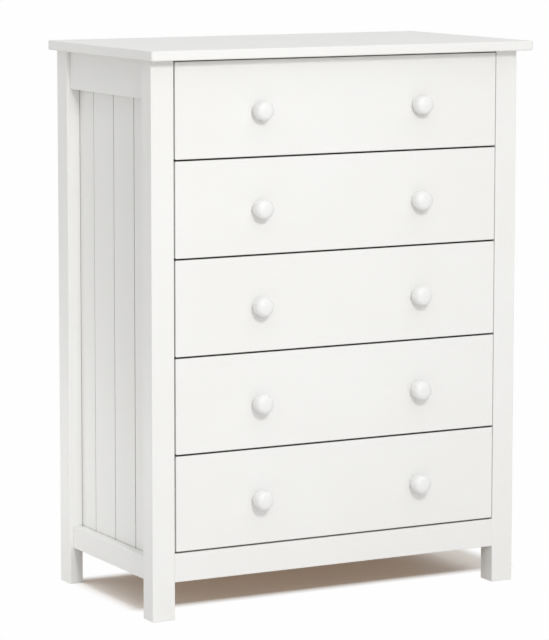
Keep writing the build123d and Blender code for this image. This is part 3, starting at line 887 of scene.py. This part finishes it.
@dataclass
class SideBoards(SubAssembly):
    """Tongue-and-groove boards in the chest's two sides, with a V where two boards meet."""

    cover: float = 86.5 * MM
    count: int = 4
    gaps: tuple[float, ...] = (2.3 * MM, 2.0 * MM, 1.6 * MM)
    chamfer: float = 0.6 * MM
    tongue_thickness: float = 3.0 * MM
    tongue_length: float = 5.0 * MM
    slack: float = 0.1 * MM
    chamfer_radius: float = 0.3 * MM
    small_radius: float = 0.15 * MM

    def joint(self, face: float, inward: int, half: float, depth: float, thickness: float) -> list[Triple]:
        """A jointed edge of a board, from the visible face's chamfer past the tongue or groove.

        Args:
            face: where the edge lies along the side.
            inward: 1 or -1, the way from the edge into the board.
            half: half of the tongue's or the groove's thickness.
            depth: how far the tongue or groove reaches rearwards.
            thickness: the board's.

        Returns:
            Each corner's depth behind the visible face, place along the side and radius.
        """
        near, far, fine, end = thickness / 2 - half, thickness / 2 + half, self.small_radius, face + depth
        places = [(self.chamfer, face), (near, face), (near, end), (far, end), (far, face), (thickness, face)]
        return [(0.0, face + inward * self.chamfer, self.chamfer_radius), *((*place, fine) for place in places)]

    def build(self) -> None:
        """Four boards on each side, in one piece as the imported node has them.

        The first and the last board have one plain edge. Sections run anticlockwise on the right side.
        """
        fine, half, reach = self.small_radius, self.tongue_thickness / 2, self.tongue_length
        for side in Side:
            node = f"side_boards_{side.word}"
            low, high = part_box(node)
            thickness, outer = high.x - low.x, low.x if side is Side.LEFT else high.x
            post_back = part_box(f"front_post_{side.word}")[1].y
            span = Span(low.z, high.z, fine / 3, fine / 3, steps=1, between=7)
            shells = []
            for number in range(self.count):
                front, rear = ([(0.0, face, fine), (thickness, face, fine)] for face in (low.y, high.y))
                if number > 0:
                    face = post_back + number * self.cover
                    front = self.joint(face, 1, half + self.slack, reach + self.gaps[0], thickness)
                if number < self.count - 1:
                    face = post_back + (number + 1) * self.cover - self.gaps[number]
                    rear = self.joint(face, -1, half, reach, thickness)
                section = front[::-1] + rear
                if side is Side.LEFT:
                    section.reverse()
                corners = tuple((outer - side.value * depth, y) for depth, y, _ in section)
                outline = Outline(corners, tuple(radius for *_, radius in section), steps=3)
                shells.append(Shell.swept(outline, span, UPRIGHT))
            self.stand_for(node, shells, BOARD_PAINT)


@dataclass(frozen=True)
class CrossHead:
    """A screw with a cross recess in its head, drawn from the point back to the recess.

    The head's rows are shares of its radius and height, from the shank to the face. The recess's rows are
    shares of the head's radius, the recess's depth and the cross.
    """

    head_radius: float
    head_height: float
    shank_radius: float
    head_rows: tuple[Pair, ...]
    point: float = 0.0
    tip: float = 0.3
    columns: int = 32
    arm_length: float = 0.62
    arm_width: float = 0.17
    recess: float = 0.55
    recess_limit: float = 1.6
    recess_rows: tuple[Triple, ...] = ((0.66, 0.0, 1.0), (0.5, 1.0, 0.78), (0.02, 1.05, 0.1))

    def shell(self, head: Reals, direction: Reals, length: float) -> Shell:
        """The screw as one closed turning.

        The recess narrows to a cross. Its radius at each angle is the larger of two arms' radii, and an
        arm's is the lesser of its length over the cosine and its half width over the sine.

        Args:
            head: the middle of the head's face.
            direction: the way the screw points.
            length: from the head's face to the point.

        Returns:
            The shell.
        """
        big, deep, thin = self.head_radius, self.head_height, self.shank_radius
        floor = self.recess * min(big, deep * self.recess_limit)
        rows = [(0.0, length), (thin * self.tip, length), (thin, length - self.point), (thin, deep)]
        rows += [(big * out, deep * down) for out, down in self.head_rows]
        solid = len(rows)
        rows += [(big * out, floor * down) for out, down, _ in self.recess_rows]
        angle = np.linspace(0, 2 * math.pi, self.columns, endpoint=False)
        c, s = (np.maximum(np.abs(part), LEAST) for part in (np.cos(angle), np.sin(angle)))
        arm, half = self.arm_length * big, self.arm_width * big
        cross = np.maximum(np.minimum(arm / c, half / s), np.minimum(arm / s, half / c))
        lobes = np.full((len(rows), self.columns), 1.0)
        lobes[solid:] = cross * np.array([share for *_, share in self.recess_rows])[:, None]
        w = np.array(direction, float)
        helper = np.array([0.0, 0.0, 1.0]) if abs(w[2]) < 0.5 else np.array([1.0, 0.0, 0.0])
        u = np.cross(helper, w)
        return Shell.turned(np.array(rows), Placement(head, u, np.cross(w, u), w), self.columns, lobes)


WOOD_SCREW = CrossHead(3.9 * MM, 2.2 * MM, 2.0 * MM, ((1.0, 0.04), (0.97, 0.0)), point=4.0 * MM)
MACHINE_SCREW = CrossHead(4.0 * MM, 2.6 * MM, 2.0 * MM, ((1.0, 1.0), (1.0, 0.45), (0.9, 0.16), (0.72, 0.0)))


@dataclass
class DrawerBox(SubAssembly):
    """A drawer: its painted front and knobs, and its pine and plywood box."""

    number: int = 1
    corner_radius: float = 2.6 * MM
    front_radius: float = 2.0 * MM
    back_radius: float = 0.4 * MM
    knob_columns: int = 56
    knob_steps: tuple[int, int, int] = (4, 16, 24)
    knob_foot_radius: float = 10.5 * MM
    knob_foot: float = 2.0 * MM
    knob_foot_ease: float = 0.8 * MM
    knob_foot_wall: float = 0.9 * MM
    knob_neck_radius: float = 8.5 * MM
    knob_neck_end: float = 6.0 * MM
    knob_cove: float = 1.5 * MM
    knob_dome: float = 14.0 * MM
    knob_face_fullness: float = 0.78
    knob_under_fullness: float = 0.8
    crown_hole: float = 0.08 * MM

    def knob_profile(self, radius: float, projection: float) -> Array:
        """Half of a knob's section, from its foot to the crown of its dome.

        Args:
            radius: the head's radius.
            projection: how far the knob stands out.

        Returns:
            Rows of (radius, distance from the drawer's front).
        """
        widest = (radius, projection - self.knob_dome)
        foot, foot_end = self.knob_foot_radius, self.knob_foot
        neck, neck_end = self.knob_neck_radius, self.knob_neck_end
        eased, (few, some, many) = (foot - self.knob_foot_ease, foot_end), self.knob_steps
        rounded = full_quarter((foot, self.knob_foot_wall), (foot, foot_end), eased, few)
        cove = full_quarter(eased, (neck, foot_end), (neck, foot_end + self.knob_cove), few)
        under = full_quarter((neck, neck_end), (radius, neck_end), widest, some, self.knob_under_fullness)
        face = full_quarter(widest, (radius, projection), (0.0, projection), many, self.knob_face_fullness)
        crown = [[face[-1, 0] + self.crown_hole, projection]]
        return np.concatenate([[[foot, 0.0]], rounded, cove[1:], under, face[1:-1], crown])

    def build(self) -> None:
        """The front with rounded edges, turned knobs and their screws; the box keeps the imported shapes."""
        name = f"drawer_{self.number}"
        ends = (self.front_radius, self.back_radius)
        bar = Bar(FORE_AND_AFT, [self.corner_radius] * 4, ends, steps=6, end_steps=5)
        self.stand_bar(f"{name}_front", bar, FRONT_PAINT)
        low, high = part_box(f"{name}_knobs")
        screw_low, screw_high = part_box(f"{name}_knob_screws")
        radius, z = (high.z - low.z) / 2, (low.z + high.z) / 2
        profile, length = self.knob_profile(radius, high.y - low.y), screw_high.y - screw_low.y
        knobs, screws = [], []
        for x in (low.x + radius, high.x - radius):
            place = Placement((x, high.y, z), (0, 0, 1), (1, 0, 0), (0, -1, 0))
            knobs.append(Shell.turned(profile, place, self.knob_columns))
            screws.append(MACHINE_SCREW.shell((x, screw_high.y, z), (0, -1, 0), length))
        self.stand_for(f"{name}_knobs", knobs, KNOB_PAINT)
        self.stand_for(f"{name}_knob_screws", screws, ZINC, METAL_SHARP)
        for side in Side:
            self.keep(f"{name}_side_{side.word}", PINES[Grain.ALONG_Y])
        self.keep(f"{name}_back", PINES[Grain.ALONG_X])
        self.keep(f"{name}_bottom", PLYWOOD)


@dataclass
class CaseInside(SubAssembly):
    """What holds the case together behind the drawers: stretchers, back rail, runners and screws."""

    runner_above_box: float = 68.0 * MM

    def build(self) -> None:
        """Bare pine pieces as they are packed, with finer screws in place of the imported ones."""
        for node in ("top_stretcher_front", "top_stretcher_rear", "back_bottom_rail"):
            self.keep(node, PINES[Grain.ALONG_X])
        for side in Side:
            self.keep(f"runners_{side.word}", PINES[Grain.ALONG_Y])
        self.stand_for("runner_screws", self.runner_screws(), ZINC, METAL_SHARP)
        self.stand_for("top_screws", self.top_screws(), ZINC, METAL_SHARP)

    def runner_screws(self) -> list[Shell]:
        """Two screws through every runner, pointing outwards."""
        low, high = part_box("runner_screws")
        half = min(WOOD_SCREW.head_radius, (high.y - low.y) / 2)
        heights = [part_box(f"drawer_{number}_side_left")[0].z for number in range(1, DRAWERS + 1)]
        shells = []
        for side in Side:
            inner = min((corner.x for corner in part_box(f"runners_{side.word}")), key=abs)
            length = abs((low.x if side is Side.LEFT else high.x) - inner)
            for z in heights:
                for y in (low.y + half, high.y - half):
                    head = (inner, y, z + self.runner_above_box)
                    shells.append(WOOD_SCREW.shell(head, (side.value, 0, 0), length))
        return shells

    def top_screws(self) -> list[Shell]:
        """Three screws up through each stretcher into the top."""
        low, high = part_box("top_screws")
        half, length = WOOD_SCREW.head_radius, high.z - low.z
        places = [
            (x, y, low.z)
            for x in (low.x + half, (low.x + high.x) / 2, high.x - half)
            for y in (low.y + half, high.y - half)
        ]
        return [WOOD_SCREW.shell(place, (0, 0, 1), length) for place in places]


@dataclass
class CaseBack(SubAssembly):
    """The nailed hardboard back.

    The nail head's rows are shares of its radius and thickness, from the shank to the face.
    """

    head_radius: float = 2.0 * MM
    shank_radius: float = 0.8 * MM
    head_thickness: float = 0.8 * MM
    head_rows: tuple[Pair, ...] = ((1.0, 1.0), (1.0, 0.55), (0.9, 0.22), (0.6, 0.06), (0.05, 0.0))
    levels: int = 7
    across: int = 4
    end_margin: float = 45.0 * MM
    columns: int = 16
    tip: float = 0.1
    taper: float = 2.5

    def nail_profile(self, length: float) -> Array:
        """Half of a nail's section from its point to its slightly domed head."""
        thin, big, thick = self.shank_radius, self.head_radius, self.head_thickness
        rows = [(thin * self.tip, length), (thin, length - self.taper * thin), (thin, thick)]
        return np.array(rows + [(big * out, thick * down) for out, down in self.head_rows])

    def build(self) -> None:
        """The board as it is packed, and its nails down both posts, the back rail and the stretcher."""
        self.keep("back_panel", HARDBOARD)
        low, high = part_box("back_panel_nails")
        panel_low, panel_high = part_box("back_panel")
        edge = (high.x - low.x) / 2 - self.head_radius
        levels = np.linspace(panel_low.z + self.end_margin, panel_high.z - self.end_margin, self.levels)
        along = np.linspace(-edge, edge, self.across + 2)[1:-1]
        rows = (low.z + self.head_radius, high.z - self.head_radius)
        places = [(x, z) for x in (-edge, edge) for z in levels] + [(x, z) for z in rows for x in along]
        profile = self.nail_profile(high.y - low.y)
        stands = [Placement((x, high.y, z), (1, 0, 0), (0, 0, 1), (0, -1, 0)) for x, z in places]
        shells = [Shell.turned(profile, stand, self.columns) for stand in stands]
        self.stand_for("back_panel_nails", shells, ZINC, METAL_SHARP)


# Studio


@dataclass(frozen=True)
class SoftBox:
    """A square studio lamp that faces a point."""

    name: str
    place: Triple
    target: Triple
    size: float
    watts: float

    def hang(self) -> None:
        """Adds the lamp to the scene."""
        lamp = bpy.data.lights.new(self.name, "AREA")
        lamp.shape = "SQUARE"
        lamp.size = self.size
        lamp.energy = self.watts
        holder = add_object(self.name, lamp)
        holder.location = self.place
        look = Vector(self.target) - Vector(self.place)
        holder.rotation_euler = look.to_track_quat("-Z", "Y").to_euler()


@dataclass(frozen=True)
class SkyLobe:
    """Soft light from one quarter of the sky, which falls off with a power of the cosine to its axis."""

    axis: Triple
    power: float
    strength: float

    def glow(self, graph: Graph, direction: Socket) -> Socket:
        """The lobe's share: strength times the positive part of the cosine, raised to the power."""
        along = graph.dot(direction, tuple(Vector(self.axis).normalized()))
        return graph.product(graph.math("POWER", graph.math("MAXIMUM", along, 0.0), self.power), self.strength)


@dataclass
class Studio:
    """A white floor, a soft sky, a frontal key lamp, two weak lamps at the rear left and the camera."""

    white: float = 0.992
    sky: tuple[SkyLobe, ...] = (
        SkyLobe((-1.0, -1.0, 0.4), 3.0, 0.41),
        SkyLobe((0.0, -1.0, 0.25), 2.0, 0.53),
        SkyLobe((0.0, 0.0, 1.0), 1.0, 0.73),
        SkyLobe((0.0, 0.0, 1.0), 3.0, 0.22),
    )
    lamps: tuple[SoftBox, ...] = (
        SoftBox("key_lamp", (-0.71, -2.83, 1.92), (0.0, -0.1, 0.5), 0.4, 30.4),
        SoftBox("upper_rear_lamp", (-1.10, 0.50, 1.10), (-0.385, 0.1, 0.7), 0.5, 0.85),
        SoftBox("lower_rear_lamp", (-0.80, 0.32, 0.20), (-0.385, 0.1, 0.3), 0.3, 0.50),
    )
    floor_half: float = 30.0
    floor_scale: float = 60.0
    floor_colour: Colour = (0.80, 0.79, 0.78)
    floor_fleck: Colour = (0.79, 0.78, 0.77)
    shade_colour: Colour = (0.965, 0.98, 0.945)
    # painted light: a warm glow added to the floor inside the shade rectangle, which sets the shade's depth and
    # tint
    shade_glow: Colour = (0.111, 0.074, 0.057)
    shade_low: Pair = (0.033, 0.119)
    shade_high: Pair = (0.045, -0.031)
    shade_fade: float = 0.035
    camera_place: Triple = (-2.8398, -5.2277, 1.3382)
    camera_yaw: float = math.radians(27.865)
    camera_dip: float = math.radians(7.018)
    camera_shift: Pair = (0.031, -0.080)
    camera_reach: float = 200.0
    sensor: float = 36.0
    lens: float = 177.08

    def shown_directly(self, graph: Graph) -> Socket:
        """One where the ray comes from the camera, a mirror or glass, and zero for diffuse light."""
        path = graph.node("LightPath").outputs
        seen = graph.math("MAXIMUM", path["Is Camera Ray"], path["Is Glossy Ray"])
        return graph.math("MAXIMUM", seen, path["Is Transmission Ray"])

    def light_world(self) -> None:
        """The sum of the sky's lobes, shown as plain white."""
        world = bpy.data.worlds.new("studio_sky")
        bpy.context.scene.world = world
        graph = Graph.cleared(world)
        direction = graph.node("TexCoord").outputs["Generated"]
        strength = self.sky[0].glow(graph, direction)
        for lobe in self.sky[1:]:
            strength = graph.math("ADD", strength, lobe.glow(graph, direction))
        shown = graph.node("Mix", {0: self.shown_directly(graph), 2: strength, 3: self.white}).outputs[0]
        glow = graph.node("Background", {"Color": WHITE, "Strength": shown})
        graph.node("OutputWorld", {"Surface": glow})

    def floor_finish(self) -> bpy.types.Material:
        """A pale floor that shows white, apart from the shade under and beside the chest.

        The shade fades with the distance to a rectangle about the chest's footprint, which is the length of
        the part of the position that lies outside it. Inside the rectangle a warm glow is added on top of the
        real shade: painted light that sets how dark and how warm the shade looks.

        Returns:
            The material.
        """
        low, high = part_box("front_post_left")[0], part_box("rear_post_right")[1]
        low, high = low + Vector((*self.shade_low, 0.0)), high + Vector((*self.shade_high, 0.0))
        middle, half = (low + high) / 2, (high - low) / 2
        material = bpy.data.materials.new("studio_floor")
        graph = Graph.cleared(material)
        where = graph.node("TexCoord").outputs["Object"]
        pale = graph.mix(graph.spread(graph.noise(where, self.floor_scale)), self.floor_colour, self.floor_fleck)
        matte = graph.node("BsdfDiffuse", {"Color": pale})
        mirrored = graph.vector("ABSOLUTE", graph.vector("SUBTRACT", where, (middle.x, middle.y, 0.0)))
        past = graph.vector("SUBTRACT", mirrored, (half.x, half.y, 0.0))
        outside = graph.length(graph.vector("MAXIMUM", past, (0.0, 0.0, 0.0)))
        away = graph.spread(outside, (0.0, self.shade_fade))
        bright = graph.node("BsdfDiffuse", {"Color": self.shade_colour})
        # painted light: a warm emission that lightens and tints the floor's shade
        painted_glow = graph.node("Emission", {"Color": self.shade_glow, "Strength": 1.0})
        shaded = graph.node("AddShader", {0: bright, 1: painted_glow})
        plain = graph.node("Emission", {"Color": WHITE, "Strength": self.white})
        seen = graph.node("MixShader", {0: away, 1: shaded, 2: plain})
        surface = graph.node("MixShader", {0: self.shown_directly(graph), 1: matte, 2: seen})
        graph.node("OutputMaterial", {"Surface": surface})
        return material

    def lay_floor(self) -> None:
        """A level floor that reaches past every edge of the view."""
        reach = self.floor_half
        place = np.array([[-reach, -reach, 0], [reach, -reach, 0], [reach, reach, 0], [-reach, reach, 0]], float)
        mesh = bpy.data.meshes.new("studio_floor")
        mesh.from_pydata(place, [], [(0, 1, 2, 3)])
        mesh.materials.append(self.floor_finish())
        add_object("studio_floor", mesh)

    def set_camera(self) -> None:
        """A long lens from the front left, above the top and looking a little down."""
        data = bpy.data.cameras.new("studio_camera")
        data.sensor_width = self.sensor
        data.lens = self.lens
        data.shift_x, data.shift_y = self.camera_shift
        data.clip_end = self.camera_reach
        camera = add_object("studio_camera", data)
        camera.location = self.camera_place
        yaw, dip = self.camera_yaw, self.camera_dip
        look = Vector((math.sin(yaw) * math.cos(dip), math.cos(yaw) * math.cos(dip), -math.sin(dip)))
        camera.rotation_euler = look.to_track_quat("-Z", "Y").to_euler()
        bpy.context.scene.camera = camera

    def build(self) -> None:
        """Lights the scene, lays the floor and sets the camera."""
        bpy.context.scene.view_settings.view_transform = "Standard"
        self.light_world()
        self.lay_floor()
        for lamp in self.lamps:
            lamp.hang()
        self.set_camera()


def main() -> None:
    """Builds and dresses every sub-assembly, then the studio."""
    logging.basicConfig(level=logging.INFO, format="%(name)s: %(message)s")
    parts: list[SubAssembly] = [TopPanel(), Posts(), CaseRails(), SideBoards(), CaseInside(), CaseBack()]
    parts += [DrawerBox(number=number, body=f"drawer_{number}") for number in range(1, DRAWERS + 1)]
    for part in parts:
        part.build()
    Studio().build()


if __name__ == "__main__":
    main()
